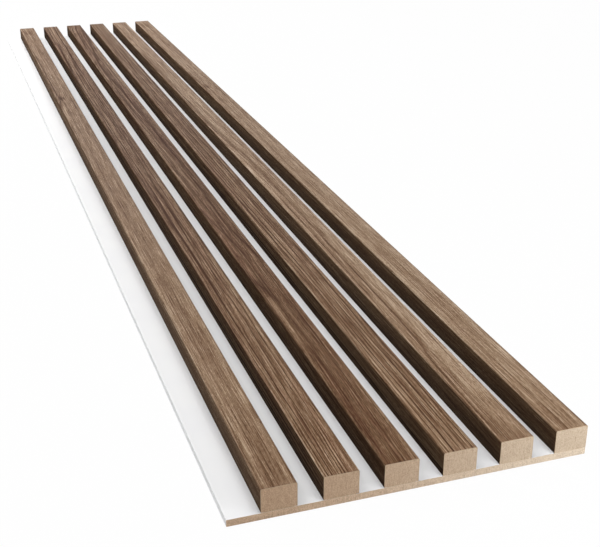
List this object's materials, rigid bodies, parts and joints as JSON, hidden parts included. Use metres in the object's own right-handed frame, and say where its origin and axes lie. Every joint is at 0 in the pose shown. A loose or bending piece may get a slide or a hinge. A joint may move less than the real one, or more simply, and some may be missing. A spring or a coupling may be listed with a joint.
{
  "type": "acoustic slat wall panel",
  "caption": "Wall panel of parallel walnut-wrapped fibreboard slats glued to a thin white-faced backing board, with open grooves between the slats and a bare margin along one edge.",
  "frame": {"origin": "middle of the board's back face, which lies on the wall", "axes": "+X across the slats from the bare margin to the flush slat, +Y along the slats, +Z out of the wall from the board to the slats"},
  "size_m": [0.3, 1.75, 0.0267],
  "materials": {
    "board_fibreboard": "bare medium-density fibreboard, matt, saw-cut ends",
    "slat_fibreboard": "bare medium-density fibreboard, matt, saw-cut ends",
    "white_foil": "smooth white foil, matt",
    "walnut_decor": "walnut grain decor, satin, grain along the slat",
    "glue": "set glue, matt"
  },
  "bodies": {
    "root": {"backing_board": "board_fibreboard", "board_face_foil": "white_foil", "slat_1_core": "slat_fibreboard", "slat_1_walnut_wrap": "walnut_decor", "slat_1_glue_line": "glue", "slat_2_core": "slat_fibreboard", "slat_2_walnut_wrap": "walnut_decor", "slat_2_glue_line": "glue", "slat_3_core": "slat_fibreboard", "slat_3_walnut_wrap": "walnut_decor", "slat_3_glue_line": "glue", "slat_4_core": "slat_fibreboard", "slat_4_walnut_wrap": "walnut_decor", "slat_4_glue_line": "glue", "slat_5_core": "slat_fibreboard", "slat_5_walnut_wrap": "walnut_decor", "slat_5_glue_line": "glue", "slat_6_core": "slat_fibreboard", "slat_6_walnut_wrap": "walnut_decor", "slat_6_glue_line": "glue"}
  },
  "joints": []
}
